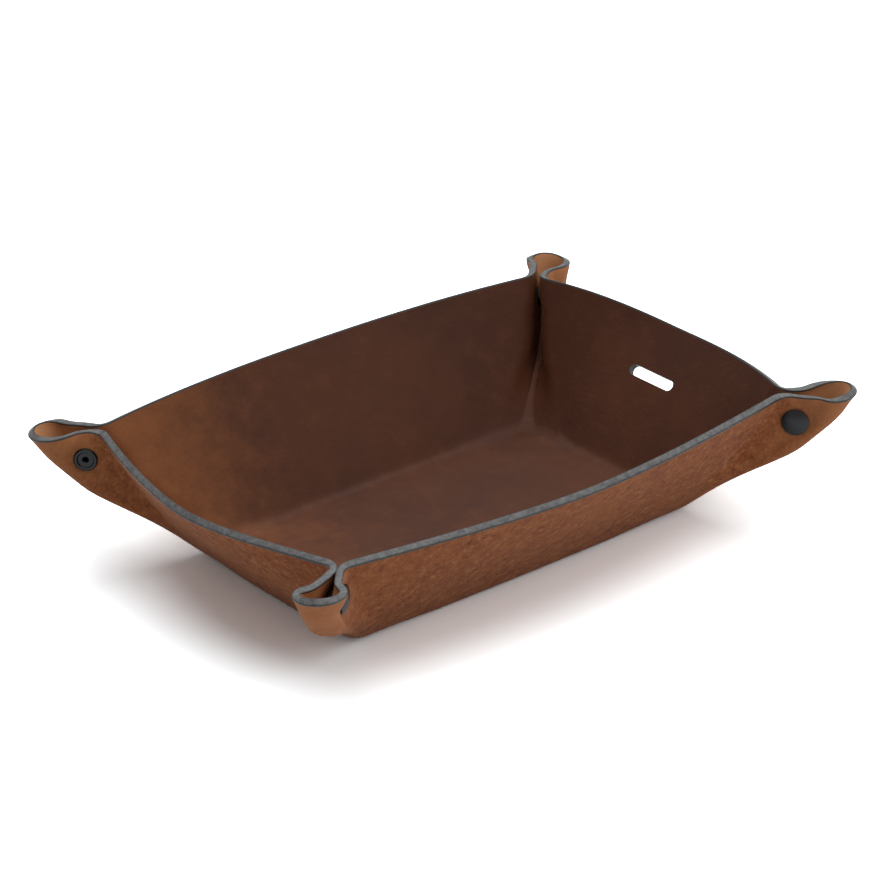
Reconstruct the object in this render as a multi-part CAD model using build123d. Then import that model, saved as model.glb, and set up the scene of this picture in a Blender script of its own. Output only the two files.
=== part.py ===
from build123d import *
import os
import numpy as np

# A leather valet tray: one thick sheet, pinched to an ear at each corner by a press stud.
# Millimetres and degrees. X runs along the long walls, Y along the short walls, Z up.
# The origin is at the middle of the floor's underside.

# The leather sheet
leather_thickness = 3.0
half_length = 124.0          # from the centre to the rim in the middle of a short wall
half_width = 86.1            # from the centre to the rim in the middle of a long wall
wall_strip = 66.3            # leather between the flat floor and the rim
floor_bend = 8.0             # length of the bend between floor and wall
long_wall_slope = 52.3       # degrees, in the middle of a long wall
short_wall_slope = 49.9      # degrees, in the middle of a short wall
edge_crown = 0.4             # how far the burnished edge bulges

# How the walls bow outwards between the corners
long_wall_bow = 10.3         # degrees turned between mid wall and corner fold
short_wall_bow = 18.2
bow_curve_share = 0.82       # 1 spreads the bow evenly, more moves it to the corners

# The ears
ear_height = 51.1            # of the sheet's middle at the folds, at the rim
ear_tip_rise = -0.2          # from the fold to the tip, before each corner's own rise
fold_length = 10.8           # leather that turns outwards from wall to ear
pressed_length = 12.2        # flat leather each side that the press stud holds
pressed_rim_share = 0.31     # what stays pressed at the rim, where the loop is fattest
flare_length = 7.9           # leather that opens from the pressed part to the loop
flare_angle = 24.5           # degrees
rim_closing = 11.3           # degrees that the rim leans in over the press stud
stud_gap = 3.4               # between the two pressed faces
floor_corner_gap = 6.0       # half the ear's width where it starts at the floor
pinch_level_share = 0.66     # share of the wall strip where the leather is fully pinched
closing_level_share = 0.8    # share of the wall strip above which the rim leans in
pinch_curve_share = 2.06
gap_curve_share = 4.0
ear_length_curve_share = 1.66
ear_root_share = 0.14        # what is left of the ear's length at the floor
height_curve_share = 1.28
low_rise_curve_share = 3.3
rim_rise_curve_share = 0.82
wall_rise_share = 0.96       # share of the rise to the ear that lies along the wall

# Each corner is shaped by hand, so the ears differ a little.
# Signs of X and Y, degrees the ear swings towards the short wall, its tip's rise, its extra length,
# and how far its loop leans: from -1 for the long wall's side to 1 for the short wall's side.
corners = {
    "near": (-1, -1, 8.6, 3.4, 4.1, 0.26),
    "left": (-1, 1, 1.8, -1.9, -1.2, -0.26),
    "far": (1, 1, 11.3, -1.5, 1.7, -0.29),
    "right": (1, -1, -3.0, 3.3, 0.6, -0.3),
}

# The press studs
stud_below_rim = 11.0        # from the rim down to the stud's centre
stud_from_fold = 7.0         # from the end of the fold to the stud's centre
seat_sink = 0.25             # how far the metal sinks into the leather
fit_gap = 0.08
cap_radius = 5.4
cap_height = 2.3
cap_edge_height = 0.9
cap_roll = 0.4
tube_radius = 1.7
tube_wall = 0.35
tube_lip = 0.35
lip_height = 0.25
socket_radius = 4.6
socket_height = 2.3
socket_mouth_radius = 2.35
socket_floor = 0.45
socket_edge_round = 0.6
stud_base_radius = 4.4
stud_base_height = 0.6
stud_head_radius = 2.15
stud_neck_radius = 1.9
post_radius = 4.7
post_height = 0.9
post_dish = 0.45
post_dish_radius = 3.4
eyelet_radius = 1.1
eyelet_roll = 0.3
head_gap = 0.16              # between the stud's head and the rivet in the socket

# The cable slot in the right short wall
slot_length = 25.0
slot_height = 4.5
slot_rise = 32.0             # height of the slot's centre above the table
overrun = 4.0                # how far the slot's cut runs past the wall
seat_overrun = 1.0           # how far the stud seats' cuts run past the leather

# How finely the sheet's formula is sampled and fitted
level_count = 25
samples = 25
steps = 6
level_degree = 4
patch_degrees = (3, 7, 5, 7, 3)


def ease(t):
    """Rises from 0 to 1 with no slope at either end."""
    t = np.clip(t, 0, 1)
    return t * t * (3 - 2 * t)


def walk(length, headings):
    """Adds up short steps along the headings, which are evenly spaced over the length."""
    step = length / (len(headings) - 1)
    x = np.cos(headings) * step
    y = np.sin(headings) * step
    x = np.concatenate([[0], np.cumsum((x[1:] + x[:-1]) / 2)])
    y = np.concatenate([[0], np.cumsum((y[1:] + y[:-1]) / 2)])
    return x, y


def wall_profile(width, slope):
    """Reach and height of a strip that bends up from the floor to the slope."""
    along = np.linspace(0, width, samples * steps)
    reach, rise = walk(width, np.radians(slope) * ease(along / floor_bend))
    return reach[-1], rise[-1]


def ear_stretches(level, longer):
    """Lengths of fold, pressed part and flare at a level of the strip."""
    share = ear_root_share + (1 - ear_root_share) * level ** ear_length_curve_share
    closing = ease((level - closing_level_share) / (1 - closing_level_share))
    pressed = (pressed_length + longer) * share * (1 - (1 - pressed_rim_share) * closing)
    return fold_length, pressed, flare_length * share, closing


def level_line(level, swing, tip_rise, longer, lean):
    """One line round a corner, from mid long wall to mid short wall, at a level of the strip.

    The heading starts along the long wall, bows in, folds out to the ear, runs straight where
    the stud presses the leather, flares into the loop, and comes back the same way. A loop that
    leans is bent more tightly on the short wall's side, and its leather there is as much longer
    as brings the two folds opposite each other.
    Gives five stretches as arrays of x, y, z, heading and distance.
    """
    long_reach, long_rise = wall_profile(level * wall_strip, long_wall_slope)
    short_reach, short_rise = wall_profile(level * wall_strip, short_wall_slope)
    corner_y = half_width - wall_profile(wall_strip, long_wall_slope)[0] + long_reach
    corner_x = half_length - wall_profile(wall_strip, short_wall_slope)[0] + short_reach

    pinch = min(level / pinch_level_share, 1)
    pinched = ease(pinch) ** pinch_curve_share
    fold, pressed, opening, closing = ear_stretches(level, longer)
    side = fold + pressed + opening
    turn = -np.pi / 4 * (1 - pinched) + np.radians(rim_closing) * closing
    flare = np.radians(flare_angle) * pinched
    swing = np.radians(swing) * pinched
    long_bow = np.radians(long_wall_bow) * level
    short_bow = np.radians(short_wall_bow) * level
    half_gap = (stud_gap + leather_thickness) / 2
    half_gap = half_gap + (floor_corner_gap - half_gap) * (1 - pinch) ** gap_curve_share

    # The loop is as long as it takes to come back across the gap and the flares.
    unit = np.linspace(0, 1, (samples - 1) * steps + 1)
    flare_run = walk(opening, turn + flare * ease(unit))[1][-1]
    loop_turn = np.pi + 2 * (turn + flare)
    leaning = unit - lean * pinched * np.sin(np.pi * unit) / np.pi
    from_axis = loop_turn * leaning - turn - flare
    loop_along, loop_across = [run[-1] for run in walk(1, from_axis)]
    loop = 2 * (half_gap + flare_run) / loop_across
    back_side = side + loop * loop_along

    ear_axis = swing - np.pi / 4
    ear_out = ear_axis - turn
    ear_back = ear_axis + np.pi + turn
    distance = unit * side
    opened = flare * ease((distance - fold - pressed) / opening)
    out = long_bow + (ear_out - long_bow) * ease(distance / fold) - opened
    back_distance = unit * back_side
    opened_back = flare * ease((back_distance - back_side + opening) / opening)
    back_start = np.pi / 2 - short_bow
    back = back_start + (ear_back - back_start) * ease(back_distance / fold) + opened_back
    headings = [
        long_bow * unit ** bow_curve_share,
        out,
        ear_axis + from_axis,
        back[::-1],
        np.pi / 2 - short_bow * (1 - unit) ** bow_curve_share,
    ]

    # The two walls are as long as it takes to join the mid walls through the ear.
    ear = [walk(side, out), walk(loop, headings[2]), walk(back_side, headings[3])]
    first = walk(1, headings[0])
    last = walk(1, headings[4])
    missing = [corner_x - sum(part[0][-1] for part in ear), corner_y - sum(part[1][-1] for part in ear)]
    ends = np.array([[first[0][-1], last[0][-1]], [first[1][-1], last[1][-1]]])
    long_run, short_run = np.linalg.solve(ends, missing)
    lengths = [long_run, side, loop, back_side, short_run]

    # Height blends from the mid wall's to the ear's, and the ear rises to its tip.
    ear_level = ear_height * level ** height_curve_share
    rise_curve = low_rise_curve_share + (rim_rise_curve_share - low_rise_curve_share) * level
    folded, folded_back = [
        np.minimum(wall_rise_share + (1 - wall_rise_share) * along / fold, 1)
        for along in (distance, back_distance)
    ]
    half_ear = side - fold + loop / 2
    half_back = back_side - fold + loop / 2
    tip_climb = (ear_tip_rise + tip_rise) * level ** 2
    raised = [
        ease((wall_rise_share * unit) ** rise_curve),
        ease(folded ** rise_curve),
        1 + 0 * unit,
        ease(folded_back ** rise_curve)[::-1],
        ease((wall_rise_share * (1 - unit)) ** rise_curve),
    ]
    to_tip = ease((distance - fold) / half_ear)
    to_tip_back = ease((back_distance - fold) / half_back)
    over_loop = np.where(
        unit < 1 / 2,
        ease((half_ear - loop * (1 / 2 - unit)) / half_ear),
        ease((half_back - loop * (unit - 1 / 2)) / half_back),
    )
    climb = [0 * unit, to_tip, over_loop, to_tip_back[::-1], 0 * unit]
    mid_rise = [long_rise, long_rise, long_rise + (short_rise - long_rise) * unit, short_rise, short_rise]

    stretches = []
    start = np.array([0, -corner_y])
    travelled = 0
    for length, heading, share, rise, tip in zip(lengths, headings, raised, mid_rise, climb):
        x, y = walk(length, heading)
        z = (1 - share) * rise + share * ear_level + tip_climb * tip
        stretch = np.stack([start[0] + x, start[1] + y, z, heading, travelled + unit * length])
        stretches.append(stretch[:, ::steps])
        start = start + [x[-1], y[-1]]
        travelled = travelled + length
    return np.array(stretches)


def corner_grid(*ear):
    """The sheet's middle and its outward normals, as arrays of stretch, level, sample and axis."""
    levels = np.linspace(0, 1, level_count)
    lines = np.array([level_line(level, *ear) for level in levels])
    lines = lines.transpose(1, 0, 3, 2)
    middle = lines[..., :3]
    heading = lines[..., 3]
    distance = lines[..., 4]
    slope = np.gradient(middle[..., 2], axis=2) / np.gradient(distance, axis=2)
    along = np.stack([np.cos(heading), np.sin(heading), slope], axis=-1)
    up = np.gradient(middle, levels, axis=1)
    normal = np.cross(along, up)
    normal = normal / np.linalg.norm(normal, axis=-1, keepdims=True)
    normal[:, 0] = (0, 0, -1)
    # Neighbouring stretches share their last and first samples exactly.
    for here in range(len(normal) - 1):
        shared = normal[here, :, -1] + normal[here + 1, :, 0]
        shared = shared / np.linalg.norm(shared, axis=-1, keepdims=True)
        normal[here, :, -1] = shared
        normal[here + 1, :, 0] = shared
        middle[here + 1, :, 0] = middle[here, :, -1]
    # The mid walls lie in the planes X = 0 and Y = 0.
    for stretch, sample, axis in ((0, 0, 0), (-1, -1, 1)):
        middle[stretch, :, sample, axis] = 0
        normal[stretch, :, sample, axis] = 0
    normal = normal / np.linalg.norm(normal, axis=-1, keepdims=True)
    return middle, normal, up


def fitting(count, degree):
    """Matrix from evenly spaced points to the control points of the Bezier curve nearest to
    them that starts and ends on the first and last point."""
    t = np.linspace(0, 1, count)[:, None]
    k = np.arange(degree + 1)
    choose = np.cumprod(np.concatenate([[1], (degree - k[:-1]) / (k[:-1] + 1)]))
    shape = choose * t ** k * (1 - t) ** (degree - k)
    matrix = np.zeros((degree + 1, count))
    matrix[0, 0] = 1
    matrix[-1, -1] = 1
    rest = np.eye(count) - np.outer(shape[:, 0], matrix[0]) - np.outer(shape[:, -1], matrix[-1])
    matrix[1:-1] = np.linalg.pinv(shape[:, 1:-1]) @ rest
    return matrix


def mirrored(sign_x, sign_y):
    """Signs that take the drawn corner, where X is positive and Y negative, to another one."""
    return np.array([sign_x, -sign_y, 1])


def as_points(table):
    return [[tuple(float(value) for value in point) for point in row] for row in table]


def leather_faces():
    """Outer skin, inner skin and edge of the walls and ears, and the two floor faces."""
    faces = []
    floor_edges = {"under": [], "upper": []}
    for sign_x, sign_y, *ear in corners.values():
        middle, normal, up = corner_grid(*ear)
        lift = np.array([0, 0, leather_thickness / 2])
        signs = mirrored(sign_x, sign_y)
        outer = (middle + normal * leather_thickness / 2 + lift) * signs
        inner = (middle - normal * leather_thickness / 2 + lift) * signs
        crest = up[:, -1] / np.linalg.norm(up[:, -1], axis=-1, keepdims=True)
        crest = (middle[:, -1] + lift + 2 * edge_crown * crest) * signs
        crest[0, 0, 0] = 0
        crest[-1, -1, 1] = 0
        for here in range(len(crest) - 1):
            crest[here + 1, 0] = crest[here, -1]
        up_fit = fitting(level_count, level_degree)
        for here, degree in enumerate(patch_degrees):
            along_fit = fitting(samples, degree)
            skins = []
            for skin in (outer, inner):
                net = np.einsum("ij,jka,lk->ila", up_fit, skin[here], along_fit)
                skins.append(net)
                faces.append(Face.make_bezier_surface(as_points(net)))
            for key, net in zip(floor_edges, skins):
                floor_edges[key].append(Edge.make_bezier(*as_points(net)[0]))
            edge = np.stack([skins[0][-1], along_fit @ crest[here], skins[1][-1]])
            faces.append(Face.make_bezier_surface(as_points(edge)))
    for edges in floor_edges.values():
        faces.append(Face(Wire(edges)))
    return faces


def stud_plane(name):
    """Frame of a corner's press stud: centre between the pressed faces, Z to the long wall."""
    sign_x, sign_y, swing, tip_rise, longer, lean = corners[name]
    level = 1 - stud_below_rim / wall_strip
    line = level_line(level, swing, tip_rise, longer, lean)
    fold = ear_stretches(level, longer)[0]
    from_wall = fold + stud_from_fold
    run = line[1][4]
    back_run = line[3][4]
    long_side = np.array([np.interp(run[0] + from_wall, run, row) for row in line[1]])
    short_side = np.array([np.interp(back_run[-1] - from_wall, back_run, row) for row in line[3]])
    centre = (long_side[:3] + short_side[:3]) / 2 + [0, 0, leather_thickness / 2]
    heading = long_side[3]
    out = np.array([np.sin(heading), -np.cos(heading), 0])
    signs = mirrored(sign_x, sign_y)
    return Plane(
        origin=tuple(float(v) for v in centre * signs),
        x_dir=(0, 0, 1),
        z_dir=tuple(float(v) for v in out * signs),
    )


def turned(outline):
    """A solid of revolution about Z from a closed outline of radius and height."""
    points = [(float(r), float(z)) for r, z in outline]
    face = Plane.XZ * make_face(Polyline(*points, close=True))
    return revolve(face, Axis.Z)


face_out = stud_gap / 2 + leather_thickness - seat_sink      # seat of cap and post
face_in = stud_gap / 2 + seat_sink / 2                       # seat of socket and stud


def stud_cutter():
    """What the leather loses for one press stud: two outer seats, a gap and a hole."""
    reach = stud_gap / 2 + leather_thickness + seat_overrun
    hole = tube_radius + fit_gap
    outline = [
        (0, -reach), (post_radius + fit_gap, -reach), (post_radius + fit_gap, -face_out),
        (hole, -face_out), (hole, -face_in), (socket_radius + fit_gap, -face_in),
        (socket_radius + fit_gap, face_in), (hole, face_in), (hole, face_out),
        (cap_radius + fit_gap, face_out), (cap_radius + fit_gap, reach), (0, reach),
    ]
    return turned(outline)


def cap():
    """Domed cap with its hollow rivet, whose lip is spread inside the socket."""
    base = face_out
    lip = face_in - socket_floor
    bore = tube_radius - tube_wall
    edge = base + cap_edge_height
    dome = cap_height - cap_edge_height
    dome_radius = (cap_radius ** 2 + dome ** 2) / (2 * dome)
    halfway = cap_radius / 2
    halfway_rise = np.sqrt(dome_radius ** 2 - halfway ** 2) - dome_radius + dome
    outline = Polyline(
        (0, base + cap_height), (0, base), (bore, base), (bore, lip - lip_height),
        (tube_radius + tube_lip, lip - lip_height), (tube_radius + tube_lip, lip), (tube_radius, lip),
        (tube_radius, base), (cap_radius - cap_roll, base),
    )
    outline += Line((cap_radius - cap_roll, base), (cap_radius, base + cap_roll))
    outline += Line((cap_radius, base + cap_roll), (cap_radius, edge))
    outline += ThreePointArc(
        (cap_radius, edge),
        (halfway, edge + float(halfway_rise)),
        (0, base + cap_height),
    )
    return revolve(Plane.XZ * make_face(outline), Axis.Z)


def socket():
    """Ring that the stud's head snaps into, seated on the long wall's pressed face."""
    top = face_in
    hole = tube_radius + fit_gap
    outline = [
        (hole, top), (socket_radius - socket_edge_round / 2, top), (socket_radius, top - socket_edge_round / 2),
        (socket_radius, top - socket_height + socket_edge_round),
        (socket_radius - socket_edge_round, top - socket_height),
        (socket_mouth_radius, top - socket_height),
        (socket_mouth_radius, top - socket_floor),
        (hole, top - socket_floor),
    ]
    return turned(outline)


def stud():
    """Stud on the short wall's pressed face, with the head that snaps into the socket."""
    base = -face_in
    head_top = face_in - socket_floor - lip_height - head_gap
    neck = base + stud_base_height
    hole = tube_radius + fit_gap
    outline = [
        (hole, base), (stud_base_radius, base), (stud_base_radius, neck - tube_wall),
        (stud_base_radius - tube_wall, neck), (stud_neck_radius, neck),
        (stud_neck_radius, (neck + head_top) / 2), (stud_head_radius, (neck + head_top * 3) / 4),
        (stud_head_radius - tube_wall / 2, head_top), (0, head_top), (0, head_top - tube_wall),
        (hole, head_top - tube_wall),
    ]
    return turned(outline)


def post():
    """Dished flange with an eyelet, whose tube runs through the leather into the stud."""
    base = -face_out
    back = base - post_height
    bore = eyelet_radius
    end = face_in - socket_floor - lip_height - head_gap - fit_gap - tube_wall
    outline = [
        (bore, end), (tube_radius, end), (tube_radius, base), (post_radius, base),
        (post_radius, base - post_height / 2), (post_radius - post_height / 2, back),
        (post_dish_radius, back), (post_dish_radius - post_dish, back + post_dish),
        (bore + eyelet_roll, back + post_dish), (bore, back + post_dish + eyelet_roll),
    ]
    return turned(outline)


def cable_slot():
    """Rounded slot through the middle of the right short wall, square to its face."""
    strip = np.linspace(0, wall_strip, level_count)
    profile = np.array([wall_profile(width, short_wall_slope) for width in strip])
    lift = leather_thickness / 2
    reach, rise = [float(np.interp(slot_rise - lift, profile[:, 1], profile[:, i])) for i in range(2)]
    x = half_length - wall_profile(wall_strip, short_wall_slope)[0] + reach
    slope = np.radians(short_wall_slope)
    plane = Plane(
        origin=(x, 0, rise + lift), x_dir=(0, 1, 0), z_dir=(float(np.sin(slope)), 0, -float(np.cos(slope)))
    )
    return extrude(plane * SlotOverall(slot_length, slot_height), amount=leather_thickness + overrun, both=True)


def leather():
    sheet = Solid(Shell(leather_faces()))
    for name in corners:
        sheet = sheet - stud_plane(name) * stud_cutter()
    return sheet - cable_slot()


def write(name, shape):
    export_step(shape, os.path.join("parts", name + ".step"))


def main():
    os.makedirs("parts", exist_ok=True)
    write("leather_tray", leather())
    pieces = {"cap": cap, "socket": socket, "stud": stud, "post": post}
    for corner in corners:
        plane = stud_plane(corner)
        for piece, make in pieces.items():
            write(corner + "_snap_" + piece, plane * make())


main()
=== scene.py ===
"""A valet tray of one thick leather sheet, pinched to an ear at each corner by a press stud.

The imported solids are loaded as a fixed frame. The leather solid is replaced by the same sheet worked
out more finely, with a rounded painted edge, and the studs' solids get their finish here.
Everything is in metres, in the frame of the solids: X along the long walls, Y along the short walls.
"""

import math

import bmesh
import bpy
import numpy as np
from bpy.props import FloatProperty, FloatVectorProperty, PointerProperty, StringProperty
from mathutils import Matrix, Vector


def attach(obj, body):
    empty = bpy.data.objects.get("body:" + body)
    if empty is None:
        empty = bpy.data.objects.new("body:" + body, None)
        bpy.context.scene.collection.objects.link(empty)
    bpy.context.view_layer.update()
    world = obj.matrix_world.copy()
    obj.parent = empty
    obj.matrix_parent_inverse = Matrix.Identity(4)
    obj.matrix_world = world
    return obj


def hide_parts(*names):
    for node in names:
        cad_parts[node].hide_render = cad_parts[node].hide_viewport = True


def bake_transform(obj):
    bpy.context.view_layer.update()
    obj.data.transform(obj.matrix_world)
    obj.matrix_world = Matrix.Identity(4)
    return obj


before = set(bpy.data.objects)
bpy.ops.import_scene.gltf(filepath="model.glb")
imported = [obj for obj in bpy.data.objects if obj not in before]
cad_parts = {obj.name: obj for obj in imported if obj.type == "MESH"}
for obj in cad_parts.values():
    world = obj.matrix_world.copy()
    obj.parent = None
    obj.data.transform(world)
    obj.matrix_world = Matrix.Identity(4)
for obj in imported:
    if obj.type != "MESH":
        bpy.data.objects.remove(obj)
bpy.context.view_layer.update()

bl_info = {
    "name": "Leather valet tray",
    "version": (1, 0, 0),
    "blender": (4, 5, 0),
    "location": "3D View > Sidebar > Tray",
    "description": "Builds a leather valet tray with pinched ears and press studs",
    "category": "Add Mesh",
}

MM = 0.001


def length(name, description, millimetres):
    """A size, given in millimetres and kept in metres."""
    return FloatProperty(name=name, description=description, default=millimetres * MM, unit="LENGTH", precision=5)


def angle(name, description, degrees):
    """An angle, given in degrees and kept in radians."""
    return FloatProperty(name=name, description=description, default=math.radians(degrees), subtype="ANGLE")


def number(name, description, value, unit="NONE"):
    """A plain number, or one with a unit of its own."""
    return FloatProperty(name=name, description=description, default=value, unit=unit)


def ear(name, swing, tip_rise, longer, lean):
    """Four numbers by which one corner differs from the others."""
    return FloatVectorProperty(
        name=name,
        description="Swing in degrees, rise of the tip and extra length in millimetres, lean of the loop from -1 to 1",
        size=4,
        default=(swing, tip_rise, longer, lean),
    )


def colour(name, description, hexadecimal):
    """A colour, kept as it is written."""
    return StringProperty(name=name, description=description + ", as sRGB hex", default=hexadecimal)


class TraySheetSizes(bpy.types.PropertyGroup):
    """Sizes of the leather sheet, the same as the solid's."""

    leather_thickness: length("Leather thickness", "Thickness of the sheet", 3.0)
    half_length: length("Half length", "Centre to rim in the middle of a short wall", 124.0)
    half_width: length("Half width", "Centre to rim in the middle of a long wall", 86.1)
    wall_strip: length("Wall strip", "Leather between the floor and the rim", 66.3)
    floor_bend: length("Floor bend", "Length of the bend between floor and wall", 8.0)
    long_wall_slope: angle("Long wall slope", "Slope in the middle of a long wall", 52.3)
    short_wall_slope: angle("Short wall slope", "Slope in the middle of a short wall", 49.9)
    long_wall_bow: angle("Long wall bow", "Turn between mid wall and corner fold", 10.3)
    short_wall_bow: angle("Short wall bow", "Turn between mid wall and corner fold", 18.2)
    bow_curve: number("Bow curve", "1 spreads the bow evenly, more moves it to the corners", 0.82)
    ear_height: length("Ear height", "Height of the sheet's middle at the folds", 51.1)
    ear_tip_rise: length("Ear tip rise", "Rise of the rim from the fold to the ear's tip", -0.2)
    fold_length: length("Fold length", "Leather that turns from wall to ear", 10.8)
    pressed_length: length("Pressed length", "Flat leather that the stud holds", 12.2)
    pressed_rim: number("Pressed at the rim", "Share that stays pressed at the rim", 0.31)
    flare_length: length("Flare length", "Leather that opens to the loop", 7.9)
    flare_angle: angle("Flare angle", "How far the ear opens to its loop", 24.5)
    rim_closing: angle("Rim closing", "How far the rim leans in above the stud", 11.3)
    stud_gap: length("Stud gap", "Space between the two pressed faces", 3.4)
    floor_corner_gap: length("Gap at the floor", "Half the ear's width where it starts", 6.0)
    pinch_level: number("Pinch level", "Share of the wall where the leather is fully pinched", 0.66)
    closing_level: number("Closing level", "Share of the wall above which the rim leans in", 0.8)
    pinch_curve: number("Pinch curve", "How late the pinch comes", 2.06)
    gap_curve: number("Gap curve", "How early the gap closes", 4.0)
    ear_length_curve: number("Ear length curve", "How the ear lengthens upwards", 1.66)
    ear_root: number("Ear root", "What is left of the ear's length at the floor", 0.14)
    height_curve: number("Height curve", "How the corner climbs", 1.28)
    low_rise_curve: number("Low rise curve", "Climb to the corner at the floor", 3.3)
    rim_rise_curve: number("Rim rise curve", "Climb to the corner at the rim", 0.82)
    wall_rise: number("Wall rise", "Share of the climb that lies along the wall", 0.96)
    near_ear: ear("Near ear", 8.6, 3.4, 4.1, 0.26)
    left_ear: ear("Left ear", 1.8, -1.9, -1.2, -0.26)
    far_ear: ear("Far ear", 11.3, -1.5, 1.7, -0.29)
    right_ear: ear("Right ear", -3.0, 3.3, 0.6, -0.3)
    edge_inset: length("Edge inset", "Where the edge starts to round, below the rim", 0.35)
    edge_height: length("Edge height", "Height of the rounded edge", 0.8)
    edge_squareness: number("Edge squareness", "1 is half round, less is squarer", 0.35)
    slot_length: length("Slot length", "Cable slot, along the wall", 25.0)
    slot_height: length("Slot height", "Cable slot, up the wall", 4.5)
    slot_rise: length("Slot rise", "Height of the slot's centre", 32.0)


class TrayStudSizes(bpy.types.PropertyGroup):
    """Where the press studs sit, and how the leather gives way around them."""

    below_rim: length("Below the rim", "From the rim down to the stud's centre", 11.0)
    from_fold: length("From the fold", "From the end of the fold to the stud's centre", 7.0)
    seat_sink: length("Seat sink", "How far the metal sinks into the leather", 0.25)
    cap_radius: length("Cap radius", "Radius of the cap on the long wall's side", 5.4)
    post_radius: length("Post radius", "Radius of the post on the short wall's side", 4.7)
    dent_width: length("Dent width", "Width of the hollow round the metal", 3.0)
    hole_radius: length("Hole radius", "Radius of the hole through the leather", 1.78)


class TrayColours(bpy.types.PropertyGroup):
    """Colours of the leather, the metal and the studio."""

    grain: colour("Grain side", "Oiled smooth side at rest", "#4A2818")
    grain_dark: colour("Grain side dark", "Where more oil stands in the leather", "#3E2115")
    # The lighter grain colour is painted light at one end of the inside.
    grain_painted_light: colour("Grain painted light", "Lit end of the inside, painted light", "#83502F")
    grain_pull_up: colour("Grain pull-up", "Grain side where it is bent hard", "#A1704C")
    flesh: colour("Flesh side", "Brushed outside", "#965937")
    flesh_light: colour("Flesh side light", "Raised fibres of the outside", "#B57C50")
    flesh_dark: colour("Flesh side dark", "Hollows between the fibres", "#5F3620")
    flesh_cloud: colour("Flesh side cloud", "Larger patches of the outside", "#A0623B")
    flesh_worn: colour("Flesh side worn", "Outside where it is bent", "#AF744C")
    edge: colour("Edge paint", "Paint on the cut edge", "#161616")
    # The lighter edge colour is a painted highlight along the top of the edge.
    edge_painted_highlight: colour("Edge paint highlight", "Top of the edge, a painted highlight", "#646464")
    metal: colour("Metal", "Blackened brass", "#272728")
    room: colour("Room", "Studio walls and light", "#FFFFFF")
    floor: colour("Floor", "Studio floor", "#C6C6C6")
    floor_tint: colour("Floor tint", "Tint of the floor as seen, against the leather's warm reflection", "#F8FDFF")
    floor_seen: number("Floor as seen", "Tone of the floor as seen; above 1 it is white in full light", 1.83)


class TrayStage(bpy.types.PropertyGroup):
    """Floor, light and camera."""

    floor_reach: length("Floor reach", "Half the floor's side", 3000.0)
    floor_gap: length("Floor gap", "Clearance between floor and leather", 0.02)
    room_light: number("Room light", "Strength of the white room around", 0.3)
    key_turn: angle("Key turn", "Where the key light stands, 0 in front", 125.0)
    key_rise: angle("Key rise", "How high the key light stands", 74.0)
    key_size: length("Key size", "Diameter of the key light", 2200.0)
    key_power: number("Key power", "Watts of the key light", 27.0, "POWER")
    fill_turn: angle("Fill turn", "Where the fill light stands, 0 in front", 20.0)
    fill_rise: angle("Fill rise", "How high the fill light stands", 35.0)
    fill_size: length("Fill size", "Diameter of the fill light", 1200.0)
    fill_power: number("Fill power", "Watts of the fill light", 5.0, "POWER")
    lamp_distance: length("Lamp distance", "From the tray to the lamps", 1500.0)
    camera_turn: angle("Camera turn", "Where the camera stands, 0 in front", -39.288)
    camera_rise: angle("Camera rise", "How high the camera stands", 26.066)
    camera_roll: angle("Camera roll", "Turn about its own axis", -0.736)
    camera_distance: length("Camera distance", "From the tray to the camera", 1516.5)
    camera_left: length("Camera left", "Shift to the left of the tray's middle", 2.8)
    camera_up: length("Camera up", "Shift above the tray's middle", 36.25)
    focal_length: number("Focal length", "Millimetres, for the sensor below", 159.28, "CAMERA")
    sensor: number("Sensor", "Width in millimetres", 36.0, "CAMERA")


# Finishes by number: grain side, flesh side, painted edge
GRAIN_FINISH, FLESH_FINISH, EDGE_FINISH = 0, 1, 2
STUD_PIECES = ("cap", "socket", "stud", "post")
# The parts of an ear's leather, each named for where its way with the opened stud begins
EAR_PARTS = ("below", "tip", "foot", "wall", "gap")
LAYER_NAME = "ear_part"

# The tray's four corners: name, sign of X, sign of Y. Going round, every second one is drawn backwards.
CORNERS = (("right", 1, -1), ("far", 1, 1), ("left", -1, 1), ("near", -1, -1))

# Samples along long wall, fold with pressed part and flare, loop, the same back, and short wall
STRETCH_SAMPLES = (40, 40, 36, 40, 34)
# Steps between two of these samples when a line is added up, and steps up a wall's profile
FINER, PROFILE_STEPS = 4, 300
# Rows of the sheet in its walls, its floor and its rounded edge
WALL_LEVELS, FLOOR_RINGS, EDGE_ROWS = 40, 11, 8
# Points round one end of the slot and round a stud's hole, and widths tried to find the slot's height
SLOT_END_POINTS, HOLE_POINTS, SLOT_SEARCH_STEPS = 17, 24, 200
# Shares of the levels at which an ear's outer edge has its foot, its knee and its tip
SPINE_PARTS = (0.2, 0.6, 1)
# How much closer the levels lie at the floor's bend and at the rim than between them
LEVEL_CROWDING = 0.5
# Share of the wall strip below which the leather of an ear keeps its oil
PULL_START = 0.35
# Shares of the half length: where the painted light at one end of the inside begins, and over how much it eases in
LIT_END_FROM, LIT_END_OVER = 0.1, 0.9
# Share of the leather's normal that must lie along a stud's axis for its metal to press there
PRESSED_FACING = 0.5
# How far outside an ear's part a face may lie and still be looked at, in shares of the way to the stud
SEAM_MARGIN = 0.3
# Points closer than this are one point when a seam is cut
WELD = MM / 1000

# Noise in the leather and its paint: width of its largest spots, detail and roughness. The oil stands in
# clouds a few centimetres wide, and handling leaves patches a finger wide. The brushed fibres are drawn
# coarser than they are, so that they show.
GRAIN_CLOUD, GRAIN_RUB = (45 * MM, 4, 0.6), (9 * MM, 4, 0.6)
FLESH_CLOUD, FLESH_MOTTLE, FLESH_FIBRE = (28 * MM, 3, 0.55), (3.6 * MM, 4, 0.6), (1.3 * MM, 4, 0.75)
EDGE_WAVE, EDGE_FLECK = (2.5 * MM, 3, 0.55), (2.2 * MM, 4, 0.7)
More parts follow.
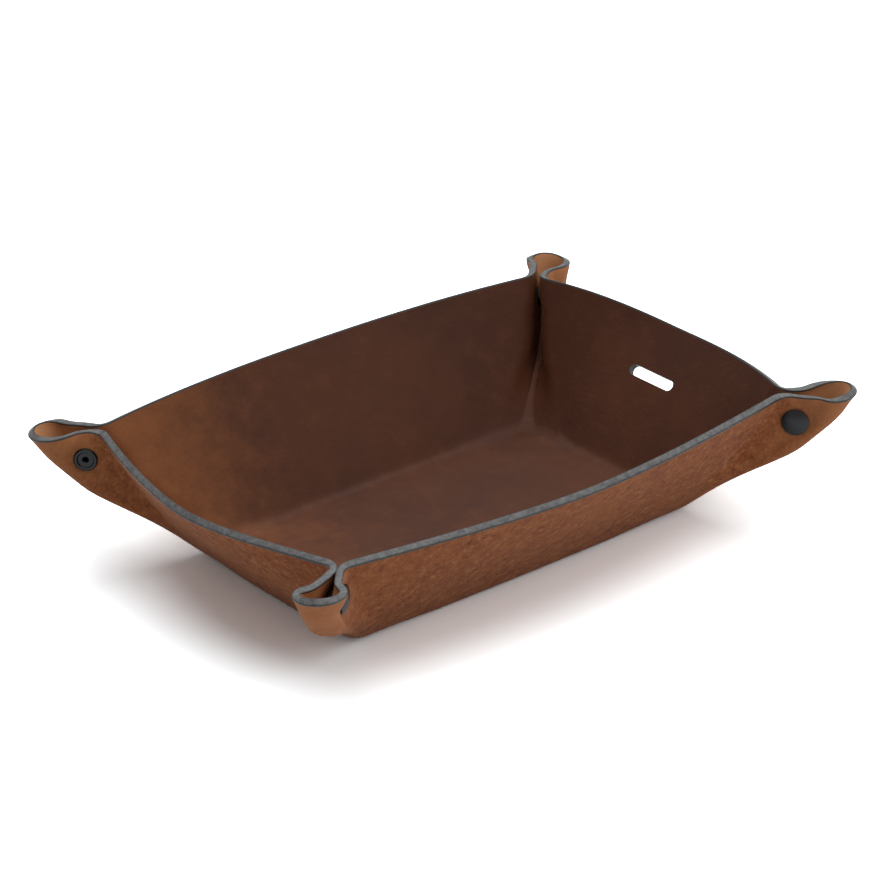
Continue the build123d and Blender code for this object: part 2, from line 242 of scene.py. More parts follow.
# The pebbled grain of cowhide is about 0.7 mm, and is drawn coarser so that it shows.
GRAIN_PEBBLE = 1.3 * MM
# Depths of the pebbles and of the noise
PEBBLE_DEPTH, RUB_DEPTH, FIBRE_DEPTH, MOTTLE_DEPTH, WAVE_DEPTH = 0.05 * MM, 0.25 * MM, 0.09 * MM, 0.18 * MM, 0.12 * MM
# Share of the light colours that a bend of one radian per metre brings on the grain side
BEND_SHARE = 0.0006
# Bends, in radians per metre, at which the flesh side starts to wear and is worn, and how uneven that is
WEAR_FROM, WEAR_FULL, WEAR_UNEVEN = 150, 450, 80

# Sockets of the Mix node for colours: share, first colour, second colour, and the result
MIX_SHARE, MIX_FIRST, MIX_SECOND, MIX_RESULT = 0, 6, 7, 2


def ease(t):
    """Rises from 0 to 1 with no slope at either end."""
    t = np.clip(t, 0, 1)
    return t * t * (3 - 2 * t)


def walk(run, headings):
    """Adds up short steps along the headings, which are evenly spaced over the run."""
    step = run / (len(headings) - 1)
    x, y = np.cos(headings) * step, np.sin(headings) * step
    x = np.concatenate([[0], np.cumsum((x[1:] + x[:-1]) / 2)])
    y = np.concatenate([[0], np.cumsum((y[1:] + y[:-1]) / 2)])
    return x, y


def wall_profile(sheet, width, slope):
    """Reach and rise of a strip that bends up from the floor to the slope."""
    along = np.linspace(0, width, PROFILE_STEPS)
    reach, rise = walk(width, slope * ease(along / sheet.floor_bend))
    return reach[-1], rise[-1]


def ear_stretches(sheet, level, longer):
    """Lengths of fold, pressed part and flare at a level, and how far the rim leans in there."""
    part = sheet.ear_root + (1 - sheet.ear_root) * level**sheet.ear_length_curve
    closing = ease((level - sheet.closing_level) / (1 - sheet.closing_level))
    pressed = (sheet.pressed_length + longer) * part * (1 - (1 - sheet.pressed_rim) * closing)
    return sheet.fold_length, pressed, sheet.flare_length * part, closing


def level_line(sheet, level, ear_shape, samples=STRETCH_SAMPLES):
    """One line round a corner, from mid long wall to mid short wall, at a level of the strip.

    The heading starts along the long wall and bows in. It folds out to the ear, runs straight where the
    stud presses the leather, flares, goes round the loop and comes back the same way. A loop that leans is
    bent more tightly on one side: its heading gains a sine of the distance. The two walls are as long as
    it takes to join the mid walls. The height blends from the mid wall's to the ear's.
    Gives rows of x, y, z, heading and distance for each stretch.
    """
    swing, tip_rise, longer = math.radians(ear_shape[0]), ear_shape[1] * MM, ear_shape[2] * MM
    lean = ear_shape[3]
    long_reach, long_rise = wall_profile(sheet, level * sheet.wall_strip, sheet.long_wall_slope)
    short_reach, short_rise = wall_profile(sheet, level * sheet.wall_strip, sheet.short_wall_slope)
    corner_y = sheet.half_width - wall_profile(sheet, sheet.wall_strip, sheet.long_wall_slope)[0] + long_reach
    corner_x = sheet.half_length - wall_profile(sheet, sheet.wall_strip, sheet.short_wall_slope)[0] + short_reach

    pinch = min(level / sheet.pinch_level, 1)
    pinched = ease(pinch) ** sheet.pinch_curve
    fold, pressed, opening, closing = ear_stretches(sheet, level, longer)
    side = fold + pressed + opening
    turn = -math.pi / 4 * (1 - pinched) + sheet.rim_closing * closing
    flare = sheet.flare_angle * pinched
    swing = swing * pinched
    long_bow, short_bow = sheet.long_wall_bow * level, sheet.short_wall_bow * level
    half_gap = (sheet.stud_gap + sheet.leather_thickness) / 2
    half_gap = half_gap + (sheet.floor_corner_gap - half_gap) * (1 - pinch) ** sheet.gap_curve

    units = [np.linspace(0, 1, (count - 1) * FINER + 1) for count in samples]
    flare_run = walk(opening, turn + flare * ease(units[1]))[1][-1]
    loop_turn = math.pi + 2 * (turn + flare)
    leaning = units[2] - lean * pinched * np.sin(math.pi * units[2]) / math.pi
    from_axis = loop_turn * leaning - turn - flare
    loop_along, loop_across = [run[-1] for run in walk(1, from_axis)]
    loop = 2 * (half_gap + flare_run) / loop_across
    back_side = side + loop * loop_along

    ear_axis = swing - math.pi / 4
    ear_out, ear_back = ear_axis - turn, ear_axis + math.pi + turn
    distance, back_distance = units[1] * side, units[3] * back_side
    opened = flare * ease((distance - fold - pressed) / opening)
    out = long_bow + (ear_out - long_bow) * ease(distance / fold) - opened
    opened = flare * ease((back_distance - back_side + opening) / opening)
    back_start = math.pi / 2 - short_bow
    back = back_start + (ear_back - back_start) * ease(back_distance / fold) + opened
    headings = [
        long_bow * units[0] ** sheet.bow_curve,
        out,
        ear_axis + from_axis,
        back[::-1],
        math.pi / 2 - short_bow * (1 - units[4]) ** sheet.bow_curve,
    ]

    round_ear = [walk(side, headings[1]), walk(loop, headings[2]), walk(back_side, headings[3])]
    first, last = walk(1, headings[0]), walk(1, headings[4])
    missing = [corner_x - sum(run[0][-1] for run in round_ear), corner_y - sum(run[1][-1] for run in round_ear)]
    ends = np.array([[first[0][-1], last[0][-1]], [first[1][-1], last[1][-1]]])
    long_run, short_run = np.linalg.solve(ends, missing)
    lengths = [long_run, side, loop, back_side, short_run]

    ear_level = sheet.ear_height * level**sheet.height_curve
    curve = sheet.low_rise_curve + (sheet.rim_rise_curve - sheet.low_rise_curve) * level
    folded, folded_back = [
        ease(np.minimum(sheet.wall_rise + (1 - sheet.wall_rise) * along / fold, 1) ** curve)
        for along in (distance, back_distance)
    ]
    half_ear, half_back = side - fold + loop / 2, back_side - fold + loop / 2
    tip_climb = (sheet.ear_tip_rise + tip_rise) * level**2
    raised = [
        ease((sheet.wall_rise * units[0]) ** curve),
        folded,
        1 + 0 * units[2],
        folded_back[::-1],
        ease((sheet.wall_rise * (1 - units[4])) ** curve),
    ]
    over_loop = np.where(
        units[2] < 1 / 2,
        ease((half_ear - loop * (1 / 2 - units[2])) / half_ear),
        ease((half_back - loop * (units[2] - 1 / 2)) / half_back),
    )
    to_tip, to_tip_back = ease((distance - fold) / half_ear), ease((back_distance - fold) / half_back)
    climb = [0 * units[0], to_tip, over_loop, to_tip_back[::-1], 0 * units[4]]
    mid_rise = [long_rise, long_rise, long_rise + (short_rise - long_rise) * units[2], short_rise, short_rise]

    stretches = []
    x0, y0, travelled = 0, -corner_y, 0
    for run, heading, part, rise, tip, unit in zip(lengths, headings, raised, mid_rise, climb, units):
        x, y = walk(run, heading)
        z = (1 - part) * rise + part * ear_level + tip_climb * tip
        rows = np.stack([x0 + x, y0 + y, z + 0 * x, heading, travelled + unit * run])
        stretches.append(rows[:, ::FINER])
        x0, y0, travelled = x0 + x[-1], y0 + y[-1], travelled + run
    return stretches


def wall_levels(sheet):
    """Shares of the wall strip at which lines are drawn, closer together at the floor's bend and the rim."""
    even = np.linspace(0, 1, WALL_LEVELS)
    closer = even - LEVEL_CROWDING * np.sin(2 * math.pi * even) / (2 * math.pi)
    return closer * (1 - sheet.edge_inset / sheet.wall_strip)


def corner_surface(sheet, name, sign_x, sign_y):
    """Middle surface, outward normals and distances of one corner, as arrays of level and sample.

    The normal is the cross product of the line's direction and the direction up the sheet.
    """
    levels = wall_levels(sheet)
    ear_shape = getattr(sheet, name + "_ear")
    lines = []
    for level in levels:
        stretches = level_line(sheet, level, ear_shape)
        joined = [stretches[0]] + [stretch[:, 1:] for stretch in stretches[1:]]
        lines.append(np.concatenate(joined, axis=1))
    lines = np.array(lines).transpose(0, 2, 1)
    middle, heading, distance = lines[..., :3], lines[..., 3], lines[..., 4]
    slope = np.gradient(middle[..., 2], axis=1) / np.gradient(distance, axis=1)
    along = np.stack([np.cos(heading), np.sin(heading), slope], axis=-1)
    up = np.gradient(middle, levels, axis=0)
    normal = unit_rows(np.cross(along, up))
    normal[0] = (0, 0, -1)
    for sample, axis in ((0, 0), (-1, 1)):
        middle[:, sample, axis] = 0
        normal[:, sample, axis] = 0
    normal = unit_rows(normal)
    signs = np.array([sign_x, -sign_y, 1])
    middle = (middle + [0, 0, sheet.leather_thickness / 2]) * signs
    surface = np.concatenate([middle, normal * signs, unit_rows(up) * signs], axis=-1)
    backwards = sign_x * sign_y > 0
    return surface[:, ::-1] if backwards else surface


def unit_rows(vectors):
    """Each vector divided by its length."""
    return vectors / np.linalg.norm(vectors, axis=-1, keepdims=True)


def ear_middle(sheet, studs, name, sign_x, sign_y, level):
    """Middle of an ear's gap at a level, as far from the walls as the stud, and the direction across it.

    It is the mean of the two points of that level's line that lie that far beyond the two walls.
    """
    ear_shape = getattr(sheet, name + "_ear")
    line = level_line(sheet, level, ear_shape)
    from_wall = ear_stretches(sheet, level, ear_shape[2] * MM)[0] + studs.from_fold
    run, back_run = line[1][4], line[3][4]
    long_side = np.array([np.interp(run[0] + from_wall, run, row) for row in line[1]])
    short_side = np.array([np.interp(back_run[-1] - from_wall, back_run, row) for row in line[3]])
    centre = (long_side[:3] + short_side[:3]) / 2 + [0, 0, sheet.leather_thickness / 2]
    heading = long_side[3]
    signs = np.array([sign_x, -sign_y, 1])
    return centre * signs, np.array([math.sin(heading), -math.cos(heading), 0]) * signs


def stud_place(sheet, studs, name, sign_x, sign_y):
    """Centre of a corner's press stud, and the level direction from short wall's side to long wall's."""
    return ear_middle(sheet, studs, name, sign_x, sign_y, 1 - studs.below_rim / sheet.wall_strip)


def bend_amount(middle, normal):
    """How sharply the sheet is bent at each point, in radians per metre.

    It is the change of the normal over the distance, along and up the sheet, added as squares. A distance
    counts as a tenth of a millimetre at least.
    """
    amount = np.zeros(middle.shape[:2])
    for axis in (0, 1):
        turn = np.linalg.norm(np.gradient(normal, axis=axis), axis=-1)
        run = np.linalg.norm(np.gradient(middle, axis=axis), axis=-1)
        amount = amount + (turn / np.maximum(run, MM / 10)) ** 2
    return np.sqrt(amount)


def dented(skin, outward, sheet, studs, places):
    """Presses the leather flat under each stud's metal: within its radius the skin moves along the stud's
    axis to the metal's seat, and over the dent's width beyond it that move eases out."""
    seat = sheet.stud_gap / 2 + sheet.leather_thickness - studs.seat_sink
    for centre, across in places:
        offset = skin - centre
        beside = offset @ across
        reach = np.linalg.norm(offset - beside[..., None] * across, axis=-1)
        for side, radius in ((1, studs.cap_radius), (-1, studs.post_radius)):
            near = ease(1 - (reach - radius) / studs.dent_width) * (beside * side > 0)
            near = near * (outward @ (across * side) > PRESSED_FACING)
            skin = skin + (near * (side * seat - beside))[..., None] * across
    return skin


def pull_up(levels):
    """How far the oil is pulled out of the leather: nothing in the walls, all of it round an ear's loop.

    Along a row it eases in over the folds and flares, and up the sheet it eases in towards the rim.
    """
    long_run, out, loop, back, short_run = [np.linspace(0, 1, count) for count in STRETCH_SAMPLES]
    stretches = [0 * long_run, ease(out), 1 + 0 * loop, ease(1 - back), 0 * short_run]
    along = np.concatenate([stretches[0]] + [stretch[1:] for stretch in stretches[1:]])
    return ease((levels[:, None] - PULL_START) / (1 - PULL_START)) * along


def sheet_surface(sheet, studs):
    """The whole sheet as one grid of rows and columns, with its pull-up, its bend and its finish by row.

    A column runs from the middle of the underside out to the wall, up the outside, over the rounded
    edge and down the inside to the middle of the floor. A row goes once round the tray.
    """
    corners = [corner_surface(sheet, *corner)[:, :-1] for corner in CORNERS]
    places = [stud_place(sheet, studs, *corner) for corner in CORNERS]
    ring = np.concatenate(corners, axis=1)
    middle, normal, crest = ring[..., :3], ring[..., 3:6], ring[..., 6:]
    half = sheet.leather_thickness / 2
    outside = dented(middle + normal * half, normal, sheet, studs, places)
    inside = middle - normal * half
    bend = bend_amount(middle, normal)
    pulled = pull_up(wall_levels(sheet))
    pulled = np.concatenate([pulled[:, ::-1 if x * y > 0 else 1][:, :-1] for _, x, y in CORNERS], axis=1)

    # The edge is a squared half round: powers of cosine and sine below 1 make its corners fuller.
    turns = np.linspace(0, math.pi, EDGE_ROWS + 2)[1:-1]
    across = np.sign(np.cos(turns)) * np.abs(np.cos(turns)) ** sheet.edge_squareness * half
    over = np.sin(turns) ** sheet.edge_squareness * sheet.edge_height
    edge = middle[-1] + across[:, None, None] * normal[-1] + over[:, None, None] * crest[-1]

    shares = np.linspace(0, 1, FLOOR_RINGS + 1)[1:-1, None, None]
    under = np.concatenate([outside[0] * shares, outside])
    upper = np.concatenate([inside[0] * shares, inside])
    upper[: FLOOR_RINGS - 1, :, 2] = inside[0, :, 2]
    rows = np.concatenate([under, edge, upper[::-1]])
    # Painted light: the inside gets lighter towards one end.
    attributes = {"rubbed": ease((-rows[..., 0] - sheet.half_length * LIT_END_FROM) / (sheet.half_length * LIT_END_OVER))}
    for name, values in (("bend", bend), ("pull_up", pulled)):
        values = np.concatenate([np.zeros((FLOOR_RINGS - 1, values.shape[1])), values])
        over_edge = np.repeat(values[-1:], len(edge), axis=0)
        attributes[name] = np.concatenate([values, over_edge, values[::-1]])
    # The middle of the edge, which faces up, carries the edge paint's painted highlight.
    middle_of_edge = np.zeros(rows.shape[:2])
    middle_of_edge[len(under) : len(under) + len(edge)] = np.sin(turns)[:, None]
    attributes["edge_middle"] = middle_of_edge
    finishes = (
        [FLESH_FINISH] * (len(under) - 1) + [EDGE_FINISH] * (len(edge) + 1) + [GRAIN_FINISH] * (len(upper) - 1)
    )
    return rows, attributes, finishes


def smooth_mesh(name, points, faces, numbers):
    """A smooth mesh of the points and faces, with a finish's number for each face."""
    mesh = bpy.data.meshes.new(name)
    mesh.from_pydata(points.tolist(), [], faces)
    mesh.polygons.foreach_set("material_index", numbers.astype(np.int32))
    mesh.polygons.foreach_set("use_smooth", np.ones(len(faces), bool))
    return mesh


def grid_mesh(name, rows, attributes, finishes, poles):
    """A closed mesh of a grid whose rows are rings, with a point at each pole."""
    row_count, ring_count = rows.shape[:2]
    points = np.concatenate([rows.reshape(-1, 3), poles])
    here = np.arange(row_count - 1)[:, None] * ring_count
    column = np.arange(ring_count)[None]
    beside = (column + 1) % ring_count
    quads = np.stack([here + column, here + beside, here + ring_count + beside, here + ring_count + column], axis=-1)
    quads = quads.reshape(-1, 4)
    first, last = len(points) - 2, len(points) - 1
    column, beside = column[0], beside[0]
    end = (row_count - 1) * ring_count
    fans = np.concatenate([
        np.stack([beside, column, np.full(ring_count, first)], axis=-1),
        np.stack([end + column, end + beside, np.full(ring_count, last)], axis=-1),
    ])
    numbers = np.repeat([*finishes, finishes[0], finishes[-1]], ring_count)
    mesh = smooth_mesh(name, points, quads.tolist() + fans.tolist(), numbers)
    for attribute_name, values in attributes.items():
        attribute = mesh.attributes.new(attribute_name, "FLOAT", "POINT")
        values = np.concatenate([values.ravel(), [0, 0]])
        attribute.data.foreach_set("value", values.astype(np.float32))
    return mesh


def prism(outline, depth):
    """Points and faces of a closed prism: the outline moved by minus and by plus the depth, and joined."""
    points = np.concatenate([outline - depth, outline + depth])
    count = len(outline)
    here = np.arange(count)
    beside = (here + 1) % count
    walls = np.stack([here, beside, count + beside, count + here], axis=-1).tolist()
    return points, walls + [here[::-1].tolist(), (count + here).tolist()]


def slot_outline(sheet):
    """Outline of the cable slot, half round at both ends, its centre and the way through the wall.

    Its centre lies where the short wall's profile reaches the slot's height.
    """
    along = np.linspace(0, sheet.wall_strip, SLOT_SEARCH_STEPS)
    profile = np.array([wall_profile(sheet, width, sheet.short_wall_slope) for width in along])
    rise = sheet.slot_rise - sheet.leather_thickness / 2
    reach = np.interp(rise, profile[:, 1], profile[:, 0])
    foot = sheet.half_length - wall_profile(sheet, sheet.wall_strip, sheet.short_wall_slope)[0]
    centre = np.array([foot + reach, 0, sheet.slot_rise])
    slope = sheet.short_wall_slope
    through = np.array([math.sin(slope), 0, -math.cos(slope)])
    upwards = np.array([math.cos(slope), 0, math.sin(slope)])
    turn = np.linspace(-math.pi / 2, math.pi / 2, SLOT_END_POINTS)
    radius = sheet.slot_height / 2
    side = radius * np.cos(turn) + sheet.slot_length / 2 - radius
    height = radius * np.sin(turn)
    side, height = np.concatenate([side, -side]), np.concatenate([height, -height])
    outline = centre + side[:, None] * np.array([0, 1, 0]) + height[:, None] * upwards
    return outline, centre, through


def cutters(sheet, studs):
    """One mesh of what is cut out: the cable slot, and a round hole through each ear for its press stud.

    Each is a prism that reaches past the leather's two faces, by half a thickness or more.
    """
    outline, slot_centre, through = slot_outline(sheet)
    prisms = [prism(outline, through * 2 * sheet.leather_thickness)]
    turn = np.linspace(0, 2 * math.pi, HOLE_POINTS, endpoint=False)[:, None]
    reach = sheet.stud_gap / 2 + sheet.leather_thickness * 3 / 2
    for corner in CORNERS:
        centre, across = stud_place(sheet, studs, *corner)
        level = np.cross((0, 0, 1), across)
        circle = centre + studs.hole_radius * (np.cos(turn) * level + np.sin(turn) * np.array([0, 0, 1]))
        prisms.append(prism(circle, across * reach))
    points, faces, first = [], [], 0
    for corner_points, corner_faces in prisms:
        points.append(corner_points)
        faces += [[first + corner for corner in face] for face in corner_faces]
        first += len(corner_points)
    # The slot's wall is painted as the edge is, and the holes' walls are bare.
    numbers = np.full(len(faces), FLESH_FINISH)
    numbers[: len(prisms[0][1])] = EDGE_FINISH
    mesh = smooth_mesh("slot_and_stud_holes", np.concatenate(points), faces, numbers)
    form = bmesh.new()
    form.from_mesh(mesh)
    bmesh.ops.recalc_face_normals(form, faces=form.faces)
    form.to_mesh(mesh)
    form.free()
    return mesh, slot_centre


def cut(mesh, cutter):
    """Takes the cutter's solid out of the mesh and gives the new mesh."""
    target, tool = new_object("sheet", mesh), new_object("tool", cutter)
    modifier = target.modifiers.new("cut", "BOOLEAN")
    modifier.operation, modifier.solver, modifier.object = "DIFFERENCE", "EXACT", tool
    modifier.material_mode = "INDEX"
    bpy.context.view_layer.update()
    ready = target.evaluated_get(bpy.context.evaluated_depsgraph_get())
    result = bpy.data.meshes.new_from_object(ready)
    for made in (target, tool):
        bpy.data.objects.remove(made)
    if len(result.polygons) == len(mesh.polygons):
        raise RuntimeError("nothing was cut out of the leather")
    return result


def sharpen_slot(form, centre, reach):
    """Marks the edges between the slot's cut wall and the leather's two faces as sharp."""
    for edge in form.edges:
        if (edge.verts[0].co - centre).length < reach and len(edge.link_faces) == 2:
            first, second = edge.link_faces
            edge.smooth = first.material_index == second.material_index


def ear_levels(sheet, studs, name, sign_x, sign_y):
    """Five linear functions of a place that say how far it goes along with an opened press stud.

    Each is 0 where the leather stays and 1 where it goes all the way: up from the floor, in from the
    upper and from the lower half of the ear's outer edge, out along the short wall, and across the gap
    between the two pressed faces. The least of them counts. Each is given as (gradient, constant, start,
    end), where start and end lie straight across its planes, so that neighbours agree where they meet.
    """
    centre, across = stud_place(sheet, studs, name, sign_x, sign_y)
    outward = np.cross(across, (0, 0, 1))
    outward = outward * np.sign(outward @ (sign_x, sign_y, 0))
    surface = corner_surface(sheet, name, sign_x, sign_y)
    spine = surface[:, np.argmax(surface[-1, :, :3] @ outward), :3]
    foot, knee, tip = [spine[int(part * (len(spine) - 1))] for part in SPINE_PARTS]
    upper, lower = np.cross(across, tip - knee), np.cross(across, knee - foot)
    upper, lower = [normal * np.sign(normal @ outward) for normal in (upper, lower)]
    low, high = [ear_middle(sheet, studs, name, sign_x, sign_y, level)[0] for level in (sheet.pinch_level, 1)]
    over = unit_rows(np.cross(outward, high - low))
    over = over * np.sign(over @ across)
    rim = studs.post_radius
    # Direction of each way, where it starts and where it is done. The first starts two thicknesses up.
    still_and_moved = (
        ((0, 0, 1), (0, 0, 2 * sheet.leather_thickness), centre - (0, 0, rim)),
        (-upper, tip, centre + outward * rim),
        (-lower, foot, centre + outward * rim),
        # The wall's way starts at a third of its half, and is done before the metal.
        ((0, sign_y, 0), (0, sign_y * sheet.half_width / 3, 0), centre - (outward + across) * studs.cap_radius),
        (-over, centre + over * sheet.stud_gap / 2, centre - over * sheet.stud_gap / 2),
    )
    levels = []
    for direction, still, moved in still_and_moved:
        direction, still = np.array(direction, float), np.array(still)
        gradient = direction / (direction @ (np.array(moved) - still))
        end = still + gradient / (gradient @ gradient)
        levels.append((gradient, -gradient @ still, Vector(still), Vector(end)))
    return levels


def split_ear(form, levels, sign_x, sign_y, layer):
    """Cuts the faces of one ear where its functions cross, and writes each face's part of the ear.

    Part 0 stays, and any other part is the number, from 1, of the function that counts there.
    """
    gradients = np.array([gradient for gradient, *_ in levels])
    constants = np.array([constant for _, constant, *_ in levels])
    seams = list(zip(gradients, constants))
    for i in range(len(levels)):
        for j in range(i):
            seams.append((gradients[i] - gradients[j], constants[i] - constants[j]))

    form.faces.ensure_lookup_table()
    centres = np.array([face.calc_center_median() for face in form.faces])
    least = (centres @ gradients.T + constants).min(axis=1)
    nearby = (least > -SEAM_MARGIN) & (centres[:, 0] * sign_x > 0) & (centres[:, 1] * sign_y > 0)
    faces = [form.faces[int(i)] for i in np.nonzero(nearby)[0]]
    for gradient, constant in seams:
        edges = list({edge for face in faces for edge in face.edges})
        verts = list({vert for face in faces for vert in face.verts})
        steepness = np.linalg.norm(gradient)
        made = bmesh.ops.bisect_plane(
            form,
            geom=verts + edges + faces,
            dist=WELD,
            plane_co=Vector(-gradient * constant / steepness**2),
            plane_no=Vector(gradient / steepness),
        )
        faces = [piece for piece in made["geom"] if isinstance(piece, bmesh.types.BMFace)]
    for face in faces:
        values = gradients @ np.array(face.calc_center_median()) + constants
        if values.min() > 0:
            face[layer] = int(values.argmin()) + 1


def part_of(form, layer, part, name):
    """A mesh of the faces that carry the part's number."""
    copy = form.copy()
    copied = copy.faces.layers.int[LAYER_NAME]
    others = [face for face in copy.faces if face[copied] != part]
    bmesh.ops.delete(copy, geom=others, context="FACES")
    mesh = bpy.data.meshes.new(name)
    copy.to_mesh(mesh)
    copy.free()
    return mesh


def set_finishes(mesh, finishes):
    """Gives the mesh its materials, in the order of its faces' numbers."""
    numbers = np.zeros(len(mesh.polygons), dtype=np.int32)
    mesh.polygons.foreach_get("material_index", numbers)
    mesh.materials.clear()
    for finish in finishes:
        mesh.materials.append(finish)
    mesh.polygons.foreach_set("material_index", numbers)


def new_object(name, mesh):
    """An object of the mesh or lamp, in the scene."""
    made = bpy.data.objects.new(name, mesh)
    bpy.context.scene.collection.objects.link(made)
    return made


def linear(hexadecimal):
    """Linear red, green, blue and alpha from an sRGB hex value."""
    parts = [int(hexadecimal[i : i + 2], 16) / 255 for i in (1, 3, 5)]
    parts = [part / 12.92 if part <= 0.04045 else ((part + 0.055) / 1.055) ** 2.4 for part in parts]
    return (*parts, 1)


def add(tree, kind, inputs=None, **settings):
    """Adds a shader node with its settings and gives its outputs. An input gets a value or a link."""
    made = tree.nodes.new("ShaderNode" + kind)
    for name, value in settings.items():
        setattr(made, name, value)
    for socket, value in (inputs or {}).items():
        if isinstance(value, bpy.types.NodeSocket):
            tree.links.new(value, made.inputs[socket])
        else:
            made.inputs[socket].default_value = value
    return made.outputs


def empty_tree(made):
    """Gives a new material or world its tree of nodes, with none in it yet."""
    made.use_nodes = True
    made.node_tree.nodes.clear()
    return made, made.node_tree


def spots(place, width, detail, roughness):
    """The inputs of a noise whose largest spots are about that wide."""
    return {"Vector": place, "Scale": 1 / width, "Detail": detail, "Roughness": roughness}


def cover(tree, kind, inputs):
    """Adds the shader and puts it on the surface."""
    add(tree, "OutputMaterial", {"Surface": add(tree, kind, inputs)["BSDF"]})


def lay_over(tree, colour, layers):
    """Lays colours over a first one. A layer is (amount, low, high, most, hex): nothing of it shows where the
    amount is low, and where the amount is high it covers what lies under it by the share most."""
    for amount, low, high, most, top in layers:
        steps = {"Value": amount, "From Min": low, "From Max": high, "To Max": most}
        share = add(tree, "MapRange", steps, interpolation_type="SMOOTHSTEP")["Result"]
        both = {MIX_SHARE: share, MIX_FIRST: colour, MIX_SECOND: linear(top)}
        colour = add(tree, "Mix", both, data_type="RGBA")[MIX_RESULT]
    return colour


def seen_directly(tree):
    """1 for what the camera sees, also in metal and glass, and 0 for the light that falls on things."""
    rays = add(tree, "LightPath")
    seen = rays["Is Camera Ray"]
    for other in ("Is Glossy Ray", "Is Transmission Ray"):
        seen = add(tree, "Math", {0: seen, 1: rays[other]}, operation="MAXIMUM")[0]
    return seen


def grain_leather(colours):
    """Oiled pull-up cowhide, grain side: waxy and smooth, dark at rest, lighter where it is bent, with painted light at
    one end of the inside.
    """
    made, tree = empty_tree(bpy.data.materials.new("oiled_pull_up_grain_leather"))
    place = add(tree, "TexCoord")["Object"]
    names = ("bend", "pull_up", "rubbed")
    bend, pulled, rubbed = [add(tree, "Attribute", attribute_name=name)["Fac"] for name in names]
    cloud, rub = [add(tree, "TexNoise", spots(place, *noise))["Fac"] for noise in (GRAIN_CLOUD, GRAIN_RUB)]
    uneven = add(tree, "Math", {0: rub, 1: 0.5}, operation="MULTIPLY")[0]
    # One end of the inside is painted lighter: painted light, with random patches.
    lighter_share = add(tree, "Math", {0: rubbed, 1: 0.75, 2: uneven}, operation="MULTIPLY_ADD")[0]
    # Pull-up: bending moves the oil away and the leather turns light there, most of all in the ears' loops.
    strained = add(tree, "Math", {0: bend, 1: BEND_SHARE, 2: pulled}, operation="MULTIPLY_ADD")[0]
    strained = add(tree, "Math", {0: strained, 1: uneven}, operation="ADD")[0]
    layers = (
        (cloud, 0.3, 0.7, 1, colours.grain),
        (lighter_share, 0.2, 1.1, 1, colours.grain_painted_light),
        (strained, 0.35, 1.35, 1, colours.grain_pull_up),
    )
    colour = lay_over(tree, linear(colours.grain_dark), layers)
    pebbles = add(tree, "TexVoronoi", {"Vector": place, "Scale": 1 / GRAIN_PEBBLE})["Distance"]
    normal = add(tree, "Bump", {"Height": pebbles, "Distance": PEBBLE_DEPTH})["Normal"]
    normal = add(tree, "Bump", {"Height": rub, "Distance": RUB_DEPTH, "Normal": normal})["Normal"]
    # More oil makes the grain a little smoother.
    rough = add(tree, "MapRange", {"Value": cloud, "To Min": 0.5, "To Max": 0.64})["Result"]
    skin = {"Base Color": colour, "Roughness": rough, "IOR": 1.47, "Specular IOR Level": 0.13, "Normal": normal}
    cover(tree, "BsdfPrincipled", skin)
    return made


def flesh_leather(colours):
    """Brushed flesh side, outside: matt and finely mottled, with short fibres that catch the light."""
    made, tree = empty_tree(bpy.data.materials.new("brushed_flesh_side_leather"))
    place = add(tree, "TexCoord")["Object"]
    bend, pulled = [add(tree, "Attribute", attribute_name=name)["Fac"] for name in ("bend", "pull_up")]
    noises = (FLESH_CLOUD, FLESH_MOTTLE, FLESH_FIBRE)
    cloud, mottle, fibre = [add(tree, "TexNoise", spots(place, *noise))["Fac"] for noise in noises]
    fine = add(tree, "Math", {0: fibre, 1: 0.55}, operation="MULTIPLY")[0]
    tone = add(tree, "Math", {0: mottle, 1: 0.45, 2: fine}, operation="MULTIPLY_ADD")[0]
    layers = (
        (tone, 0.34, 0.52, 1, colours.flesh),
        (tone, 0.5, 0.66, 1, colours.flesh_light),
        (cloud, 0.35, 0.7, 0.45, colours.flesh_cloud),
    )
    colour = lay_over(tree, linear(colours.flesh_dark), layers)
    strain = add(tree, "Math", {0: mottle, 1: WEAR_UNEVEN, 2: bend}, operation="MULTIPLY_ADD")[0]
    steps = {"Value": strain, "From Min": WEAR_FROM, "From Max": WEAR_FULL, "To Max": 0.3}
    bent = add(tree, "MapRange", steps, interpolation_type="SMOOTHSTEP")["Result"]
    # The ears, which are handled and bent most, are lighter than the walls.
    lighter_share = add(tree, "Math", {0: pulled, 1: 0.75}, operation="MULTIPLY")[0]
    worn = add(tree, "Math", {0: bent, 1: lighter_share}, operation="MAXIMUM")[0]
    both = {MIX_SHARE: worn, MIX_FIRST: colour, MIX_SECOND: linear(colours.flesh_worn)}
    colour = add(tree, "Mix", both, data_type="RGBA")[MIX_RESULT]
    normal = add(tree, "Bump", {"Height": fibre, "Distance": FIBRE_DEPTH})["Normal"]
    normal = add(tree, "Bump", {"Height": mottle, "Distance": MOTTLE_DEPTH, "Normal": normal})["Normal"]
    skin = {"Base Color": colour, "Roughness": 0.92, "IOR": 1.45, "Specular IOR Level": 0.15, "Normal": normal}
    skin.update({"Sheen Weight": 0.05, "Sheen Roughness": 0.5})
    cover(tree, "BsdfPrincipled", skin)
    return made


